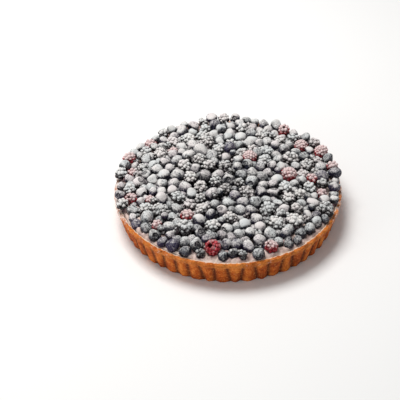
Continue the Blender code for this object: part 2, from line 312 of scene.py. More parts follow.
class Berry:
    """A berry as a ball for settling, with the axis that its crown or hull end points along."""

    def __init__(self, kind, x, y, width, draw, seen):
        self.kind = kind
        self.x, self.y = x, y
        self.half = width / 2
        self.ball = self.half * (1.0 + STRETCH[kind]) / 2
        self.reach = self.half * max(1.0, STRETCH[kind])
        self.seen = seen
        self.low = False
        self.sink = draw.uniform(*SINK) + max(0.0, SMALL_HALF - self.half)
        self.z = heap_top(x, y) - self.half - self.sink
        self.axis = self.draw_axis(draw)
        self.spot = (round(x * 1000), round(y * 1000))
        facing = FACING.get(self.spot)
        if seen and facing:
            self.axis = Vector(facing).normalized()

    def draw_axis(self, draw):
        """A random direction; the long berries lie down more than they stand."""
        while True:
            x, y, z = (draw.uniform(-1.0, 1.0) for _ in range(3))
            if 0.2 < length(x, y, z) < 1.0:
                return Vector((x, y, z * STAND[self.kind])).normalized()

    def keep_in_place(self):
        """Stay near the dome's height, on the cream and inside the heap, and lie against the rim."""
        plan = max(TINY, length(self.x, self.y))
        front = frontness(self.x, self.y)
        rest = CREAM_TOP + self.half * PRESSED_IN * min(1.0, STRETCH[self.kind])
        target = heap_top(self.x, self.y) - self.half - self.sink
        lean = smooth((plan - EDGE_ROW[0]) / EDGE_ROW[1]) * min(1.0, front * 2)
        target += (rest - target) * lean
        self.z = max(rest, self.z + SETTLE_PULL * (target - self.z))
        inset = 0.0 if self.seen else FRONT_INSET * front
        held = CORE_RADIUS - CORE_INSET * front - CORE_HOLD + self.half
        new_plan = min(plan, HEAP_RADIUS - inset - self.reach, held)
        ring, height, tube = RIM_TUBE
        off_r, off_z, clear = new_plan - ring, self.z - height, self.reach + tube
        if length(off_r, off_z) < clear:
            if front < FRONT_SHARE:
                self.z = height + math.sqrt(clear * clear - off_r * off_r)
            else:
                new_plan = ring - math.sqrt(clear * clear - off_z * off_z)
        self.x = round(self.x * new_plan / plan, 7)
        self.y = round(self.y * new_plan / plan, 7)
        self.z = round(self.z, 7)


def seen_berries(draw):
    """The berries placed one by one."""
    return [Berry(kind, x / 1000, y / 1000, width / 1000, draw, True)
            for kind, rows in SEEN.items() for x, y, width in rows]


def thrown_berries(berries, draw):
    """Fill the heap's plan with random berries that leave room for those before them."""
    for dart in range(DARTS):
        x = draw.uniform(-HEAP_RADIUS, HEAP_RADIUS)
        y = draw.uniform(-HEAP_RADIUS, HEAP_RADIUS)
        pick = draw.random()
        kind = next(name for name, limit in SHARE if pick < limit)
        low, high = WIDTHS[kind]
        width = draw.uniform(low, high) * (1.0 - LATE_SHRINK * dart / DARTS)
        width *= 1.0 - EDGE_SHRINK * smooth((length(x, y) - EDGE_ROW[0]) / EDGE_ROW[1])
        if length(x, y) + width / 2 > HEAP_RADIUS - FRONT_INSET * frontness(x, y):
            continue
        room = all(length(x - other.x, y - other.y) > SPREAD * (width / 2 + other.half)
                   for other in berries)
        if room:
            berries.append(Berry(kind, x, y, width, draw, False))


def settle(berries):
    """Push overlapping berries apart, a little at a time, while each keeps to its place."""
    for _ in range(SETTLE_STEPS):
        for index, one in enumerate(berries):
            for other in berries[:index]:
                near = one.ball + other.ball
                dx, dy = one.x - other.x, one.y - other.y
                if abs(dx) > near or abs(dy) > near:
                    continue
                dz = one.z - other.z
                apart = length(dx, dy, dz)
                if apart >= near:
                    continue
                push = (near - apart) / max(apart, TINY) / 2
                for berry, way in ((one, push), (other, -push)):
                    slide = SEEN_SLIDE if berry.seen else 1.0
                    berry.x += dx * way * slide
                    berry.y += dy * way * slide
                    berry.z += dz * way
        for berry in berries:
            berry.keep_in_place()


def heap_berries():
    """All the berries of the heap's top, the same on each run."""
    draw = random.Random(BERRY_SEED)
    berries = seen_berries(draw)
    thrown_berries(berries, draw)
    settle(berries)
    return berries


def lower_berries(above, draw):
    """Berries pressed in under the top ones; those that fill a gap the best come first."""
    places = []
    for _ in range(LOWER_DARTS):
        x = draw.uniform(-LOWER_REACH, LOWER_REACH)
        y = draw.uniform(-LOWER_REACH, LOWER_REACH)
        half = draw.uniform(*LOWER_HALF)
        plan = length(x, y)
        if plan + half > LOWER_REACH - FRONT_INSET * frontness(x, y):
            continue
        top = heap_top(x, y)
        z = top - half
        for other in above:
            touch = (half + other.ball) * LOWER_TOUCH
            apart = length(x - other.x, y - other.y)
            if apart < touch:
                z = min(z, other.z - math.sqrt(touch * touch - apart * apart))
        ring, height, tube = RIM_TUBE
        off = plan - ring
        clear = half + tube * LOWER_ON_RIM
        rest = CREAM_TOP + half * LOWER_IN_CREAM
        if abs(off) < clear:
            rest = max(rest, height + math.sqrt(clear * clear - off * off))
        if z < rest:
            near = min(length(x - o.x, y - o.y, rest - o.z) / (half + o.ball) for o in above)
            if near < LOWER_PRESSED or plan + half > LOWER_ROW:
                continue
            z = rest
        if z > top - LOWER_DEEPEST:
            places.append((top - z - half * LOWER_SIZE_WEIGHT, x, y, z, half))
    below = []
    for _, x, y, z, half in sorted(places):
        if any(length(x - o.x, y - o.y, z - o.z) < LOWER_APART * (half + o.half) for o in below):
            continue
        kind = "blueberry" if draw.random() < LOWER_BLUEBERRIES else "bramble"
        berry = Berry(kind, x, y, half * 2, draw, False)
        berry.z = z
        berry.low = True
        below.append(berry)
    return below


# Modelling helpers

def deselect():
    for obj in list(bpy.context.selected_objects):
        obj.select_set(False)


def begin(name):
    """Name the new primitive, and open it for editing by faces."""
    obj = bpy.context.object
    obj.name = name
    obj.data.name = name
    bpy.ops.object.mode_set(mode="EDIT")
    bpy.ops.mesh.select_mode(type="FACE")
    return obj


def begin_ball(name, sides, rings, radius=1.0):
    """A ball round the origin, open for editing."""
    deselect()
    bpy.ops.mesh.primitive_uv_sphere_add(segments=sides, ring_count=rings, radius=radius)
    return begin(name)


def begin_disc(name, sides, radius, bottom, top):
    """A closed cylinder about the tart's axis, open for editing."""
    deselect()
    bpy.ops.mesh.primitive_cylinder_add(vertices=sides, radius=radius, depth=top - bottom,
                                        location=(0, 0, (top + bottom) / 2))
    bpy.ops.object.transform_apply(location=True)
    return begin(name)


def pick_faces(obj, test):
    """Select only the faces whose middle passes the test."""
    bpy.ops.mesh.select_all(action="DESELECT")
    shape = bmesh.from_edit_mesh(obj.data)
    for face in shape.faces:
        face.select_set(test(face.calc_center_median()))
    bmesh.update_edit_mesh(obj.data)


def close_edit(obj):
    bpy.ops.object.mode_set(mode="OBJECT")
    obj.data.shade_smooth()


def extrude(up, scale):
    """Extrude the selected faces along Z, and scale them about the axis."""
    bpy.ops.mesh.extrude_region_move(TRANSFORM_OT_translate={"value": (0, 0, up)})
    bpy.ops.transform.resize(value=(scale, scale, 1), center_override=(0, 0, 0))


def coordinates(mesh):
    places = np.empty(len(mesh.vertices) * 3, np.float32)
    mesh.vertices.foreach_get("co", places)
    return places.reshape(-1, 3).astype(float)


def set_coordinates(mesh, places):
    mesh.vertices.foreach_set("co", np.asarray(places, np.float32).ravel())
    mesh.update()


def set_attribute(mesh, name, values):
    """A number for each vertex, which the material reads."""
    layer = mesh.attributes.get(name) or mesh.attributes.new(name, "FLOAT", "POINT")
    values = np.broadcast_to(np.asarray(values, np.float32), (len(mesh.vertices),))
    layer.data.foreach_set("value", np.ascontiguousarray(values))


def get_attribute(mesh, name):
    values = np.zeros(len(mesh.vertices), np.float32)
    mesh.attributes[name].data.foreach_get("value", values)
    return values.astype(float)


def copied(model, matrix):
    """A copy of a model with its own mesh, put in its place."""
    mesh = model.data.copy()
    mesh.transform(matrix)
    obj = bpy.data.objects.new(model.name + "_copy", mesh)
    bpy.context.scene.collection.objects.link(obj)
    return obj


def joined(name, parts):
    """One object from several, in the place of the first."""
    deselect()
    for part in parts:
        part.select_set(True)
    bpy.context.view_layer.objects.active = parts[0]
    bpy.ops.object.join()
    obj = bpy.context.object
    obj.name = name
    obj.data.name = name
    obj.select_set(False)
    return obj


# Modelled berries, with the half width as 1 and the crown or hollow towards +Z

def marked_skin(berry, crown):
    """Give a blueberry the attributes that all the kinds have."""
    for name, values in (("crown", crown), ("cap", 1.0), ("cell", 0.5)):
        set_attribute(berry.data, name, values)
    return berry


def model_blueberry(draw):
    """A round berry with a five-pointed crown round a small basin."""
    berry = begin_ball("blueberry_model", BLUEBERRY_SIDES, BLUEBERRY_RINGS)
    pick_faces(berry, lambda middle: middle.z > CROWN_LINE)
    wide = draw.uniform(1.15, 1.50)
    bpy.ops.transform.resize(value=(wide, wide, 1), center_override=(0, 0, 0))
    bpy.ops.transform.translate(value=(0, 0, -0.03 * wide))
    extrude(draw.uniform(0.07, 0.12), draw.uniform(1.12, 1.25))
    extrude(-0.005, 0.86)
    extrude(draw.uniform(-0.24, -0.18), 0.82)
    extrude(-0.02, 0.45)
    close_edit(berry)
    places = coordinates(berry.data)
    plan = np.hypot(places[:, 0], places[:, 1])
    turn = np.arctan2(places[:, 1], places[:, 0])
    point = 0.5 + 0.5 * np.cos(CROWN_POINTS * turn)
    crown = smooth_array((places[:, 2] - 0.955) / 0.04) * (plan > 0.1)
    places[:, 2] -= crown * (1 - point) * CROWN_CUT
    places[:, :2] *= (1 + crown * (point - 0.4) * CROWN_FLARE)[:, None]
    set_coordinates(berry.data, places)
    return marked_skin(berry, (plan < 0.42) * smooth_array((places[:, 2] - 0.6) / 0.1))


def model_low_blueberry():
    """A plain ball for the blueberries that show only between others."""
    berry = begin_ball("low_blueberry_model", LOW_SIDES, LOW_RINGS)
    close_edit(berry)
    return marked_skin(berry, 0.0)


def model_drupelet():
    """One bead of a bramble or raspberry, cut off where it grows from the fruit."""
    bead = begin_ball("drupelet_model", DRUPELET_SIDES, DRUPELET_RINGS)
    bpy.ops.mesh.select_all(action="SELECT")
    bpy.ops.mesh.bisect(plane_co=(0, 0, DRUPELET_CUT), plane_no=(0, 0, 1), clear_inner=True,
                        use_fill=True, threshold=TINY)
    close_edit(bead)
    height = coordinates(bead.data)[:, 2]
    set_attribute(bead.data, "cap", smooth_array((height - 0.05) / 0.7))
    return bead


def dented(places, centre, half, draw):
    """Press soft flats and shallow wrinkles into a berry."""
    for _ in range(FLATS):
        way = Vector([draw.gauss(0, 1) for _ in range(3)]).normalized()
        out = (places - centre) @ np.array(way) / half
        flat = draw.uniform(0.62, 0.84)
        places -= np.outer(np.clip(out - flat, 0, 1) * half * draw.uniform(0.5, 1.0), way)
    size = half * draw.uniform(0.5, 0.9)
    seed = draw.uniform(0, 50)
    swell = [1 + WRINKLE * relief(x, y, z, size, seed) for x, y, z in places - centre]
    return centre + (places - centre) * np.array(swell)[:, None]


def bead_place(spot, out, radius, draw):
    """Where a bead of that radius sits, with its top along the outward direction."""
    turn = out.to_track_quat("Z", "Y").to_matrix().to_4x4()
    spin = Matrix.Rotation(draw.uniform(0, math.tau), 4, "Z")
    tall = draw.uniform(0.95, 1.15)
    return Matrix.Translation(spot) @ turn @ spin @ Matrix.Diagonal((radius, radius, radius * tall, 1))


def beads_on(name, core, spots, bead, draw):
    """A fruit from its core and a bead at each spot, given as (place, outward way, radius)."""
    set_attribute(core.data, "cap", 0.0)
    set_attribute(core.data, "cell", 0.0)
    parts = [core]
    for spot, out, radius in spots:
        part = copied(bead, bead_place(spot, out, radius, draw))
        set_attribute(part.data, "cell", draw.random())
        parts.append(part)
    fruit = joined(name, parts)
    set_attribute(fruit.data, "crown", 0.0)
    return fruit


def long_core(name, sides, rings, inner, stretch):
    """A ball for beads to sit on, stretched along Z, open for editing."""
    core = begin_ball(name, sides, rings, inner)
    bpy.ops.mesh.select_all(action="SELECT")
    bpy.ops.transform.resize(value=(1, 1, stretch), center_override=(0, 0, 0))
    return core


def on_core(out, inner, stretch):
    """The place on a stretched core in an outward direction."""
    return Vector((out.x, out.y, out.z * (stretch - 1 + inner) / inner)) * inner


def mark_hollow(fruit, wide, low, high):
    """Mark the middle of a fruit's hull end, within a radius and between two heights."""
    places = coordinates(fruit.data)
    plan = np.hypot(places[:, 0], places[:, 1])
    set_attribute(fruit.data, "crown", (plan < wide) * (places[:, 2] > low) * (places[:, 2] < high))
    return fruit


def model_bramble(half, bead, draw):
    """A bramble: beads packed all over a long core."""
    pitch = BRAMBLE_PITCH / half
    inner = 1.0 - BRAMBLE_BEAD_HEIGHT * pitch
    stretch = STRETCH["bramble"]
    count = round(4 * math.pi * inner * inner * BRAMBLE_CROWDING / (pitch * pitch * HEX_AREA))
    core = long_core("bramble_model", 12, 8, inner, stretch)
    close_edit(core)
    spots = []
    for index in range(count):
        height = 1 - 2 * (index + 0.5) / count
        if height > 1 - HULL_PIT * pitch * pitch:
            continue
        around = index * GOLDEN_TURN
        flat = math.sqrt(1 - height * height)
        out = Vector((flat * math.cos(around), flat * math.sin(around), height))
        out += Vector([draw.uniform(-0.17, 0.17) * pitch / 0.4 for _ in range(3)])
        out.normalize()
        spot = on_core(out, inner, stretch) * draw.uniform(0.90, 1.02)
        spots.append((spot, out, pitch * draw.uniform(0.46, 0.68)))
    fruit = beads_on("bramble_model", core, spots, bead, draw)
    return mark_hollow(fruit, 0.3, 0.7, math.inf)


def model_raspberry(half, bead, draw):
    """A raspberry: rows of small beads round a core that is hollow from above."""
    pitch = RASPBERRY_PITCH / half
    inner = 1.0 - RASPBERRY_BEAD_HEIGHT * pitch
    stretch = STRETCH["raspberry"]
    core = long_core("raspberry_model", 16, 10, inner, stretch)
    pick_faces(core, lambda middle: middle.z > 0.84 * inner * stretch)
    extrude(-0.05, 0.80)
    extrude(-0.40, 0.85)
    extrude(-0.40, 0.65)
    close_edit(core)
    spots = []
    rows = round(RASPBERRY_SPAN * inner / (pitch * ROW_STEP))
    for row in range(rows + 1):
        polar = RASPBERRY_SPAN * row / rows
        around_row = max(1, round(math.tau * math.sin(polar) * inner / pitch))
        start = draw.uniform(0, math.tau)
        for index in range(around_row):
            around = start + math.tau * (index + draw.uniform(-0.12, 0.12)) / around_row
            out = Vector((math.sin(polar) * math.cos(around), math.sin(polar) * math.sin(around),
                          -math.cos(polar)))
            spot = on_core(out, inner, stretch) * draw.uniform(0.95, 1.01)
            spots.append((spot, out, pitch * draw.uniform(0.48, 0.66)))
    fruit = beads_on("raspberry_model", core, spots, bead, draw)
    return mark_hollow(fruit, 0.48, -0.3, 0.85)


def berry_models(draw):
    """The modelled berries of each kind, each with the half width it was made for."""
    bead = model_drupelet()
    models = {
        "blueberry": [(0.0, model_blueberry(draw)) for _ in range(BLUEBERRY_MODELS)],
        "low blueberry": [(0.0, model_low_blueberry())],
        "bramble": [(half, model_bramble(half, bead, draw)) for half in BRAMBLE_SIZES],
        "raspberry": [(half, model_raspberry(half, bead, draw)) for half in RASPBERRY_SIZES],
    }
    bpy.data.objects.remove(bead)
    return models


def sprinkle(x, y):
    """How much icing sugar fell on a place: less in the middle, the front and the right."""
    radius = np.hypot(x, y)
    front = np.clip(-y / np.maximum(radius, TINY), 0, 1) ** 1.5
    right = np.clip(x / np.maximum(radius, TINY), 0, 1) ** 2
    thin = smooth_array((radius - THIN_FROM) / THIN_RUN)
    outward = smooth_array(radius / SUGAR_RUN)
    return SUGAR_MIDDLE + SUGAR_OUTWARD * outward - thin * (THIN_FRONT * front + THIN_RIGHT * right)


def dusted(mesh, berry, others, draw):
    """Icing sugar on a berry: on what faces up and has no other berry above it."""
    places = coordinates(mesh)
    normals = np.empty(len(mesh.vertices) * 3, np.float32)
    mesh.vertex_normals.foreach_get("vector", normals)
    up = normals.reshape(-1, 3)[:, 2].astype(float)
    round_up = (places[:, 2] - berry.z) / berry.half
    share = ROUND_SHARE[berry.kind]
    sugar = smooth_array(((1 - share) * up + share * round_up - 0.01) / 0.86)
    for other in others:
        away = np.hypot(places[:, 0] - other.x, places[:, 1] - other.y)
        over = smooth_array((other.z - places[:, 2]) / other.half + 0.2)
        sugar *= 1 - smooth_array((other.half * 1.02 - away) / (other.half * 0.35)) * over
    fell = sprinkle(places[:, 0], places[:, 1])
    bare = np.clip(0.85 - 0.55 * fell, 0.2, 0.6) * BARE_JOINTS[berry.kind]
    sugar *= fell * (1 - bare + bare * get_attribute(mesh, "cap"))
    amount = SPOT_SUGAR.get(berry.spot, 1.0) if berry.seen else THROWN_SUGAR[berry.kind]
    sugar *= (1.12 - 0.50 * draw.random()) * amount
    # The lower berries keep less sugar: painted shade deep in the gaps
    sugar *= (1 - CROWN_BARE * get_attribute(mesh, "crown")) * (LOW_SUGAR_AND_SHADE if berry.low else 1.0)
    set_attribute(mesh, "dust", sugar)


def kept_inside(places):
    """Shift a berry so that nothing of it passes the model's box."""
    low, high = (np.array(corner) for corner in cad_box)
    places -= np.maximum(0, places.max(axis=0) - high + EDGE_MARGIN)
    places += np.maximum(0, low + EDGE_MARGIN - places.min(axis=0))
    return places


def berry_matrix(berry, draw):
    """Where a berry's model goes: along its axis, at its size, and a little uneven."""
    down = not berry.seen and berry.axis.z > 0 and draw.random() < CROWNS_DOWN
    turn = (-berry.axis if down else berry.axis).to_track_quat("Z", "Y").to_matrix().to_4x4()
    spin = Matrix.Rotation(draw.uniform(0, math.tau), 4, "Z")
    long = STRETCH[berry.kind] if berry.kind == "blueberry" else 1.0
    uneven = (draw.uniform(0.99, 1.07), draw.uniform(1.0, 1.08), long * draw.uniform(1.0, 1.08), 1)
    place = Matrix.Translation((berry.x, berry.y, berry.z))
    return place @ turn @ spin @ Matrix.Scale(berry.half, 4) @ Matrix.Diagonal(uneven)


def dress_berries(kind, berries, models, draw):
    """All the berries of a kind as one piece."""
    parts = []
    for berry in berries:
        if berry.kind != kind:
            continue
        family = models["low blueberry" if berry.low and kind == "blueberry" else kind]
        draw.shuffle(family)
        model = min(family, key=lambda pair: abs(pair[0] - berry.half) * (kind != "blueberry"))[1]
        part = copied(model, berry_matrix(berry, draw))
        if kind == "blueberry":
            centre = np.array((berry.x, berry.y, berry.z))
            set_coordinates(part.data, dented(coordinates(part.data), centre, berry.half, draw))
        set_coordinates(part.data, kept_inside(coordinates(part.data)))
        near = [o for o in berries if o is not berry and o.z > berry.z - berry.half
                and length(o.x - berry.x, o.y - berry.y) < o.half * 1.1 + berry.reach]
        dusted(part.data, berry, near, draw)
        tint = draw.random()
        if berry.seen and berry.spot in VIOLET_SPOTS:
            tint = VIOLET
        set_attribute(part.data, "tint", tint)
        parts.append(part)
    return joined(PIECE_NAMES[kind], parts)


# Shell, cream and core

def wall_radius(height):
    """Inner radius of the slanting crust wall at a height."""
    return FLOOR_RADIUS + (MOUTH_RADIUS - FLOOR_RADIUS) * height / SHELL_HEIGHT


def outer_radius(height):
    """Outer radius of the shell at a height: a slanting side under a rolled lip."""
    if height < LIP_HEIGHT:
        return FOOT_RADIUS + (RIM_RADIUS - LIP_OVERHANG - FOOT_RADIUS) * height / LIP_HEIGHT
    share = (height - LIP_HEIGHT) / (SHELL_HEIGHT - LIP_HEIGHT)
    under = LIP_OVERHANG * (1 - smooth(share / 0.55))
    return RIM_RADIUS - under - LIP_ROUND * smooth((share - 0.6) / 0.4)


def relief(x, y, z, size, seed):
    """Even noise from -1 to 1 at a feature size."""
    return noise.noise(Vector((x / size + seed, y / size, z / size)))


def uneven_creases(draw):
    """Depth, shift, lean and skew of the crease at each flute."""
    deep = [draw.uniform(0.70, 1.20) for _ in range(FLUTES)]
    shift = [draw.uniform(-0.10, 0.10) for _ in range(FLUTES)]
    lean = [draw.uniform(-0.38, 0.18) for _ in range(FLUTES)]
    skew = [draw.choice((0.75, 1.0, 1.3)) for _ in range(FLUTES)]
    return list(zip(deep, shift, lean, skew))


def side_radius(x, y, z, creases):
    """Radius of the fluted side under its wavy lip, and how deep in a crease it is."""
    flute = (math.atan2(x, -y) - FLUTE_TURN) * FLUTES / math.tau
    nearest = round(flute)
    deep, shift, lean, skew = creases[nearest % FLUTES]
    off = flute - nearest - shift * 0.5 - lean * (z / SHELL_HEIGHT - 0.5)
    off *= skew if off > 0 else 1 / skew
    cusp = (1.0 - abs(math.sin(math.pi * min(abs(off), 0.5)))) ** CREASE_POWER
    cusp *= smooth((0.5 - abs(flute - nearest)) / 0.2)
    wave = LIP_WAVE * (0.4 - cusp) + LIP_WANDER * relief(x, y, 0, 0.012, 11)
    fade = 1.0 - FLUTE_FADE * smooth((z - LIP_HEIGHT + 0.001) / (SHELL_HEIGHT - LIP_HEIGHT))
    groove = cusp * fade
    radius = outer_radius(max(0.0, z - wave * smooth(z / 0.015)))
    radius -= FLUTE_DEPTH * groove * deep + RIM_MARGIN
    lump = SIDE_LUMPS * relief(x, y, z, 0.009, 3) + SIDE_CRUMB * relief(x, y, z, 0.003, 8)
    return min(radius + lump, RIM_RADIUS - RIM_MARGIN), groove


def top_place(x, y, z, across):
    """Radius and height of the lip's top, rounded outside and rough inside."""
    radius = length(x, y) - (LIP_ROUND + RIM_MARGIN) * (1 - across)
    z += -0.0010 * (1 - across) ** 2 + TOP_LUMPS * relief(x, y, z, 0.005, 4)
    z += TOP_LUMPS * relief(x, y, z, 0.0018, 6) - 0.0003
    radius += (EDGE_CRUMB * relief(x, y, z, 0.0035, 9) - 0.0004) * across
    return radius, z


def rim_dust(x, y, z):
    """Icing sugar on the shell: on the lip alone, most at the left and none along the front."""
    fell = (1.30 - 0.55 * smooth((x + 0.04) / 0.08)) * smooth((y + 0.085) / 0.05)
    return smooth((z - 0.0260) / 0.003) * (fell + 0.55) - 0.80


def shell_block():
    """A cylinder with cuts up its side, loops on its top and a hollow."""
    shell = begin_disc("pastry_shell", FLUTES * SHELL_STEPS, RIM_RADIUS, 0.0, SHELL_HEIGHT)
    for cut in range(1, SHELL_CUTS):
        bpy.ops.mesh.select_all(action="SELECT")
        bpy.ops.mesh.bisect(plane_co=(0, 0, SHELL_HEIGHT * cut / SHELL_CUTS), plane_no=(0, 0, 1))
    pick_faces(shell, lambda middle: middle.z > SHELL_HEIGHT - NEAR)
    for _ in range(RIM_LOOPS):
        bpy.ops.mesh.inset(thickness=(RIM_RADIUS - MOUTH_RADIUS) / RIM_LOOPS, use_even_offset=True)
    for _ in range(WALL_LOOPS):
        extrude(-WALL_LOOP, 1.0)
    extrude(FLOOR_THICKNESS + WALL_LOOPS * WALL_LOOP - SHELL_HEIGHT, 1.0)
    close_edit(shell)
    return shell


def make_shell():
    """The baked shell, with uneven flutes and a rolled and wavy lip."""
    shell = shell_block()
    mesh = shell.data
    places = coordinates(mesh)
    creases = uneven_creases(random.Random(SHELL_SEED))
    marks = {"groove": [], "rim": [], "inner": [], "dust": []}
    for place in places:
        x, y, z = place
        plan = length(x, y)
        across = (RIM_RADIUS - plan) / (RIM_RADIUS - MOUTH_RADIUS)
        outward = plan > RIM_RADIUS - NEAR
        groove = 0.0
        if outward:
            radius, groove = side_radius(x, y, z, creases)
        elif z > SHELL_HEIGHT - NEAR:
            radius, z = top_place(x, y, z, across)
        else:
            radius = wall_radius(z) + WALL_CRUMB * relief(x, y, z, 0.0035, 9) * (z > 0.02)
        if z < NEAR:
            radius = min(radius, FOOT_RADIUS)
        place[0], place[1], place[2] = x / plan * radius, y / plan * radius, min(z, SHELL_HEIGHT)
        marks["groove"].append(groove)
        marks["rim"].append(smooth((z - 0.020) / 0.009))
        marks["inner"].append(0.0 if outward else smooth(across))
        marks["dust"].append(rim_dust(x, y, z))
    set_coordinates(mesh, places)
    for name, values in marks.items():
        set_attribute(mesh, name, values)
    return shell


def cream_lumps(x, y, nearest):
    """Height of the cream's relief; nearest is how far a berry is, in its half widths."""
    push = math.exp(-((nearest - 1.05) / 0.30) ** 2)
    push *= 0.5 + smooth(0.5 + 1.2 * relief(x, y, 0, 0.0090, 12))
    rough = 0.0014 * relief(x, y, 0, 0.0085, 2) - 0.0030 * abs(relief(x, y, 0, 0.0060, 5))
    rough += 0.0012 * relief(x, y, 0, 0.0028, 7) + 0.0010
    return rough + CREAM_PUSH * push


def make_cream(berries):
    """The cream: smooth where it is covered, rough and pushed up between the front berries."""
    bottom = CUSTARD_TOP + GAP
    edge = wall_radius(CREAM_TOP) - GAP
    cream = begin_disc("cream_layer", CREAM_STEPS, edge, bottom, CREAM_TOP)
    pick_faces(cream, lambda middle: middle.z > CREAM_TOP - NEAR)
    for _ in range(CREAM_LOOPS):
        bpy.ops.mesh.inset(thickness=CREAM_LOOP, use_even_offset=True)
    close_edit(cream)

    low = [b for b in berries if b.z - b.half < CREAM_TOP + CREAM_TOUCH]
    centres = np.array([(b.x, b.y, b.half) for b in low])
    mesh = cream.data
    places = coordinates(mesh)
    juice = []
    for place in places:
        x, y, z = place
        plan = length(x, y)
        stain_and_shade = 0.0
        if z < CREAM_TOP - NEAR:
            inward = (wall_radius(bottom) - GAP) / plan
            place[0], place[1] = x * inward, y * inward
        else:
            away = np.hypot(centres[:, 0] - x, centres[:, 1] - y) / centres[:, 2]
            nearest = float(away.min())
            fall = smooth((edge - plan) / CREAM_FALL)
            place[2] = z - CREAM_EDGE_DROP * (1 - fall) + cream_lumps(x, y, nearest) * fall
            # Juice stain and painted shade on the cream round each berry that sits in it
            stain_and_shade = math.exp(-max(0.0, nearest - 0.7) / 0.35)
        juice.append(stain_and_shade)
    set_coordinates(mesh, places)
    set_attribute(mesh, "juice", juice)
    return cream


def make_core():
    """The dark inside of the heap, low under the berries, which paints shade into the gaps."""
    bottom = CREAM_TOP + GAP
    core = begin_disc("heap_core", CORE_STEPS, CORE_RADIUS - CORE_EDGE, bottom, bottom + CORE_DISC)
    pick_faces(core, lambda middle: middle.z > CREAM_TOP + CORE_DISC)
    for _ in range(CORE_LOOPS):
        bpy.ops.mesh.inset(thickness=CORE_LOOP)
    close_edit(core)
    mesh = core.data
    places = coordinates(mesh)
    for place in places:
        x, y, z = place
        if z > bottom + CORE_DISC / 2:
            rise = smooth((CORE_RADIUS - CORE_EDGE - length(x, y)) / CORE_SLOPE)
            top = heap_top(x, y) - CORE_DROP + CORE_LUMPS * relief(x, y, 0, 0.011, 1)
            place[2] = CREAM_TOP + CORE_FOOT + (top - CREAM_TOP - CORE_FOOT) * rise
        drawn = 1.0 - CORE_INSET * CORE_DRAWN / CORE_RADIUS * frontness(x, y)
        place[0], place[1] = x * drawn, y * drawn
    set_coordinates(mesh, places)
    return core


# Materials

class Signal:
    """An output of a finish's node; sums and products on it add Math nodes."""

    def __init__(self, finish, socket):
        self.finish = finish
        self.socket = socket

    def math(self, operation, left, right):
        return self.finish.node("ShaderNodeMath", {"operation": operation}, {0: left, 1: right})

    def __add__(self, other):
        return self.math("ADD", self, other)

    def __radd__(self, other):
        return self.math("ADD", other, self)

    def __sub__(self, other):
        return self.math("SUBTRACT", self, other)

    def __rsub__(self, other):
        return self.math("SUBTRACT", other, self)

    def __mul__(self, other):
        return self.math("MULTIPLY", self, other)

    def __rmul__(self, other):
        return self.math("MULTIPLY", other, self)


class Finish:
    """A material built node by node round one Principled shader."""

    def __init__(self, name, **fixed):
        self.material = bpy.data.materials.new(name)
        self.material.use_nodes = True
        self.tree = self.material.node_tree
        self.shader = self.tree.nodes["Principled BSDF"]
        for socket, value in fixed.items():
            self.shader.inputs[socket.replace("_", " ")].default_value = value
        self.place = self.node("ShaderNodeTexCoord", {}, {}, "Object")

    def node(self, kind, settings, inputs, output=0):
        """Add a node, apply its settings, then fill its sockets with values or links."""
        node = self.tree.nodes.new(kind)
        for key, value in settings.items():
            if key == "stops":
                self.set_stops(node.color_ramp, value)
            else:
                setattr(node, key, value)
        for socket, value in inputs.items():
            if isinstance(value, Signal):
                self.tree.links.new(value.socket, node.inputs[socket])
            else:
                node.inputs[socket].default_value = value
        return Signal(self, node.outputs[output])

    @staticmethod
    def set_stops(ramp, stops):
        while len(ramp.elements) < len(stops):
            ramp.elements.new(1.0)
        for element, (position, color) in zip(ramp.elements, stops):
            element.position = position
            element.color = (*color[:3], 1.0)

    def attribute(self, name):
        return self.node("ShaderNodeAttribute", {"attribute_name": name}, {}, "Fac")

    def noise(self, size, detail=3.0, rough=0.55):
        """Noise from 0 to 1 whose features have a size in metres."""
        return self.node("ShaderNodeTexNoise", {}, {"Vector": self.place, "Scale": 1 / size,
                                                    "Detail": detail, "Roughness": rough}, "Fac")

    def step(self, value, low, high):
        """Ease from 0 to 1 as the value goes from low to high."""
        return self.node("ShaderNodeMapRange", {"interpolation_type": "SMOOTHSTEP"},
                         {"Value": value, "From Min": low, "From Max": high}, "Result")

    def mix(self, factor, one, other):
        """Blend two colours."""
        return self.node("ShaderNodeMix", {"data_type": "RGBA"}, {0: factor, 6: one, 7: other}, 2)

    def ramp(self, value, stops):
        """A colour that changes with a value, from stops of (value, colour)."""
        return self.node("ShaderNodeValToRGB", {"stops": stops}, {"Fac": value}, "Color")

    def bump(self, height, depth, strength=1.0, under=None):
        """A surface relief; depth is the height's span in metres."""
        inputs = {"Height": height, "Distance": depth, "Strength": strength}
        if under is not None:
            inputs["Normal"] = under
        return self.node("ShaderNodeBump", {}, inputs, "Normal")

    def wire(self, **links):
        for socket, signal in links.items():
            self.tree.links.new(signal.socket, self.shader.inputs[socket.replace("_", " ")])
        return self.material


def rgb(red, green, blue):
    """A colour as seen on screen, 0 to 255, as the shader's linear colour."""
    def linear(value):
        share = value / 255
        return share / 12.92 if share <= 0.04045 else ((share + 0.055) / 1.055) ** 2.4
    return (linear(red), linear(green), linear(blue), 1.0)


def sugar_mask(finish, strength, patches=0.9):
    """Where icing sugar lies: the vertices' dust, broken up by patches, pits and grain."""
    grain = finish.noise(0.0021, 5.0, 0.9)
    patch = finish.noise(0.0060, 2.0)
    pits = finish.step(finish.noise(0.0015, 2.0, 0.7), 0.54, 0.66)
    cover = finish.attribute("dust") * strength + (patch - 0.5) * patches - pits * PIT_DEPTH
    return finish.step(cover + (grain - 0.5) * GRAIN_SPAN, 0.02, 0.94)


def sugar_tone(finish):
    """Icing sugar, here and there dampened to grey or pink by what lies under it."""
    damp = finish.noise(0.010, 3.0) * 0.7 + finish.attribute("tint") * 0.3
    return finish.ramp(damp, [(0.34, DAMP_GREY), (0.52, SUGAR), (0.70, DAMP_PINK)])


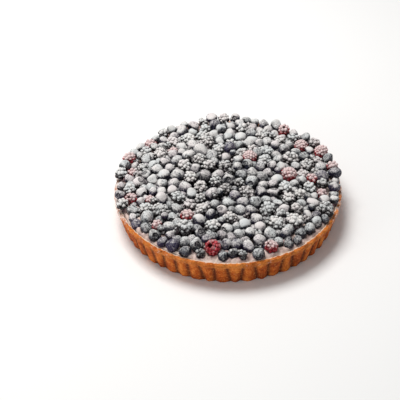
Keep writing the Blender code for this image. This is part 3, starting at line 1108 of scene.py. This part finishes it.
def sugared(finish, skin, mask, cover, tone, skin_roughness):
    """Lay sugar over a berry's skin: its colour, its dullness and its fine relief."""
    color = finish.mix(mask * cover, skin, tone)
    rough = finish.node("ShaderNodeMapRange", {},
                        {"Value": mask, "To Min": skin_roughness, "To Max": SUGAR_ROUGHNESS}, "Result")
    normal = finish.bump(finish.noise(0.0009, 3.0) * mask, 0.0003, 0.8)
    return finish.wire(Base_Color=color, Roughness=rough, Normal=normal)


def blueberry_finish():
    finish = Finish("blueberry_skin", Roughness=0.55, Specular_IOR_Level=0.16)
    skin = finish.ramp(finish.attribute("tint"), [(0.0, rgb(20, 19, 28)), (0.40, rgb(26, 27, 38)),
                                                  (0.7, rgb(40, 31, 61)), (1.0, rgb(24, 20, 30))])
    bloom = finish.step(finish.noise(0.0050, 3.0), 0.45, 0.75)
    skin = finish.mix(bloom * 0.40, skin, rgb(74, 80, 112))
    skin = finish.mix(finish.attribute("crown") * 0.75, skin, rgb(24, 20, 28))
    return sugared(finish, skin, sugar_mask(finish, 1.0), 0.90, sugar_tone(finish), 0.42)


def bramble_finish():
    finish = Finish("bramble_skin", Roughness=0.4, Specular_IOR_Level=0.2)
    skin = finish.ramp(finish.attribute("cell"), [(0.0, rgb(16, 12, 16)), (0.6, rgb(26, 18, 26)),
                                                  (1.0, rgb(44, 18, 30))])
    return sugared(finish, skin, sugar_mask(finish, 1.2), 0.93, sugar_tone(finish), 0.32)


def raspberry_finish():
    finish = Finish("raspberry_skin", Roughness=0.4, Specular_IOR_Level=0.4)
    skin = finish.ramp(finish.attribute("cell"), [(0.0, rgb(118, 8, 22)), (0.5, rgb(166, 16, 34)),
                                                  (1.0, rgb(194, 50, 64))])
    # The hollow darkened: painted shade inside it
    skin = finish.mix(finish.attribute("crown") * 0.7, skin, rgb(84, 4, 16))
    return sugared(finish, skin, sugar_mask(finish, 1.45, 2.4), 0.88, PINK_SUGAR, 0.35)


def core_finish():
    """Berries deep in the heap, seen only through gaps: grey sugared lumps on a dark ground that
    paints in the shade.
    """
    finish = Finish("heap_shade", Roughness=0.7, Specular_IOR_Level=0.1)
    away = finish.node("ShaderNodeTexVoronoi", {}, {"Vector": finish.place, "Scale": 1 / 0.011},
                       "Distance")
    color = finish.ramp(away + (finish.noise(0.0024, 5.0, 0.85) - 0.5) * 0.5,
                        [(0.05, (0.20, 0.20, 0.21)), (0.55, rgb(20, 16, 22))])
    normal = finish.bump(1.0 - away, 0.006, 0.8)
    return finish.wire(Base_Color=color, Normal=normal)


def pastry_finish():
    """Golden pastry, lighter at the lip, with painted shade in the creases, light and dark crumb, and
    sugar on the lip.
    """
    finish = Finish("baked_shortcrust", Roughness=0.8, Specular_IOR_Level=0.25)
    groove = finish.attribute("groove")
    patches = finish.noise(0.014, 3.0)
    crumb = finish.noise(0.0018, 4.0, 0.65)
    side = finish.ramp(patches, [(0.30, rgb(136, 52, 6)), (0.48, rgb(184, 80, 10)),
                                 (0.66, rgb(226, 130, 48))])
    lip = finish.ramp(patches, [(0.30, rgb(180, 88, 24)), (0.70, rgb(218, 130, 52))])
    color = finish.mix(finish.attribute("rim"), side, lip)
    # Painted shade in the creases: a broad darkening, and a darker line at the deepest
    color = finish.mix(finish.step(groove, 0.10, 0.75) * 0.45, color, rgb(120, 52, 16))
    color = finish.mix(finish.step(groove, 0.50, 0.95) * 0.85, color, rgb(82, 31, 8))
    color = finish.mix(finish.step(crumb, 0.51, 0.66) * 0.38, color, rgb(240, 170, 92))
    color = finish.mix(finish.step(crumb, 0.49, 0.34) * 0.42, color, rgb(104, 44, 14))
    edge = finish.step(finish.attribute("inner") + finish.noise(0.0030, 3.0) * 0.8, 1.12, 1.36)
    color = finish.mix(edge * 0.8, color, rgb(236, 222, 204))
    color = finish.mix(sugar_mask(finish, 0.8, 2.2) * 0.85, color, SUGAR)
    fine = finish.bump(crumb, 0.0008, 0.9)
    normal = finish.bump(finish.noise(0.006, 3.0), 0.0010, 0.6, fine)
    return finish.wire(Base_Color=color, Normal=normal)


def cream_finish():
    """Cream in slightly different whites, with painted shade in its pits, and a juice stain with
    painted shade beside the berries.
    """
    finish = Finish("whipped_cream", Roughness=0.55, Specular_IOR_Level=0.3)
    patches = finish.noise(0.012, 3.0)
    color = finish.ramp(patches, [(0.32, rgb(184, 158, 148)), (0.66, rgb(238, 220, 209))])
    # Dark pits: painted shade in the hollows of the cream
    pits = finish.step(finish.noise(0.0032, 4.0, 0.7), 0.44, 0.28)
    color = finish.mix(pits * 0.8, color, rgb(132, 110, 106))
    # Mauve beside the berries: juice stain, and painted shade where the berries meet the cream
    juice = finish.attribute("juice") * finish.step(finish.noise(0.007), 0.35, 0.70)
    color = finish.mix(juice * 0.8, color, rgb(168, 120, 140))
    normal = finish.bump(finish.noise(0.0016, 4.0, 0.6), 0.0006, 0.7)
    return finish.wire(Base_Color=color, Normal=normal)


def custard_finish():
    finish = Finish("baked_custard", Roughness=0.45)
    color = finish.ramp(finish.noise(0.02), [(0.3, rgb(240, 160, 30)), (0.7, rgb(252, 188, 62))])
    normal = finish.bump(finish.noise(0.003), 0.0002, 0.5)
    return finish.wire(Base_Color=color, Normal=normal)


# Setting

def make_stage():
    """A pale floor, a hair below the tart."""
    deselect()
    bpy.ops.mesh.primitive_plane_add(size=8.0, location=(0, 0, -FLOOR_DROP))
    floor = bpy.context.object
    floor.name = "floor"
    finish = Finish("pale_floor", Roughness=0.9, Specular_IOR_Level=0.1)
    color = finish.ramp(finish.noise(0.6), [(0.0, (0.86, 0.86, 0.86)), (1.0, (0.88, 0.88, 0.88))])
    floor.data.materials.append(finish.wire(Base_Color=color))


def add_lamp(name, place, size, watts):
    """A soft square lamp aimed at the tart."""
    lamp = bpy.data.lights.new(name, "AREA")
    lamp.size = size
    lamp.energy = watts
    lamp.color = LAMP_COLOR
    obj = bpy.data.objects.new(name, lamp)
    obj.location = place
    obj.rotation_euler = (-Vector(place)).to_track_quat("-Z", "Y").to_euler()
    bpy.context.scene.collection.objects.link(obj)


def make_lights():
    """Soft studio light from above and a little behind, and a white room."""
    add_lamp("lamp_above", (-0.42, 0.40, 1.5), 0.8, 25.0)
    add_lamp("lamp_front", (-1.3, -0.9, 0.42), 0.7, 5.4)
    world = bpy.data.worlds.new("white_room")
    world.use_nodes = True
    world.node_tree.nodes["Background"].inputs["Color"].default_value = (1.0, 1.0, 1.0, 1.0)
    world.node_tree.nodes["Background"].inputs["Strength"].default_value = ROOM_LIGHT
    bpy.context.scene.world = world
    bpy.context.scene.view_settings.view_transform = "Standard"


def make_camera():
    """The camera in front of the tart, looking down at it."""
    data = bpy.data.cameras.new("camera")
    data.lens = CAMERA_LENS
    data.sensor_width = CAMERA_SENSOR
    data.shift_x, data.shift_y = CAMERA_SHIFT
    camera = bpy.data.objects.new("camera", data)
    camera.location = (0.0, -CAMERA_DISTANCE * math.cos(CAMERA_ELEVATION),
                       CAMERA_DISTANCE * math.sin(CAMERA_ELEVATION))
    camera.rotation_euler = (math.pi / 2 - CAMERA_ELEVATION, 0.0, 0.0)
    bpy.context.scene.collection.objects.link(camera)
    bpy.context.scene.camera = camera


def keep(piece, slot, material, *nodes):
    """Give a piece its material and its body, and hide the solids it stands for."""
    piece.data.materials.clear()
    piece.data.materials.append(material)
    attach(piece, "root")
    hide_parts(*nodes)


def main():
    make_camera()
    make_lights()
    make_stage()
    top = heap_berries()
    everyone = top + lower_berries(top, random.Random(LOWER_SEED))
    draw = random.Random(MODEL_SEED)
    models = berry_models(draw)
    finishes = {"blueberry": blueberry_finish(), "bramble": bramble_finish(),
                "raspberry": raspberry_finish()}
    for kind, finish in finishes.items():
        keep(dress_berries(kind, everyone, models, draw), "berries", finish, "berry_heap")
    for pairs in models.values():
        for _, model in pairs:
            bpy.data.objects.remove(model)
    keep(make_core(), "berries", core_finish(), "berry_heap")
    keep(make_shell(), "shortcrust", pastry_finish(), "crust")
    keep(make_cream(everyone), "cream", cream_finish(), "cream")
    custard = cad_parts["custard"]
    custard.data.materials.clear()
    custard.data.materials.append(custard_finish())


main()
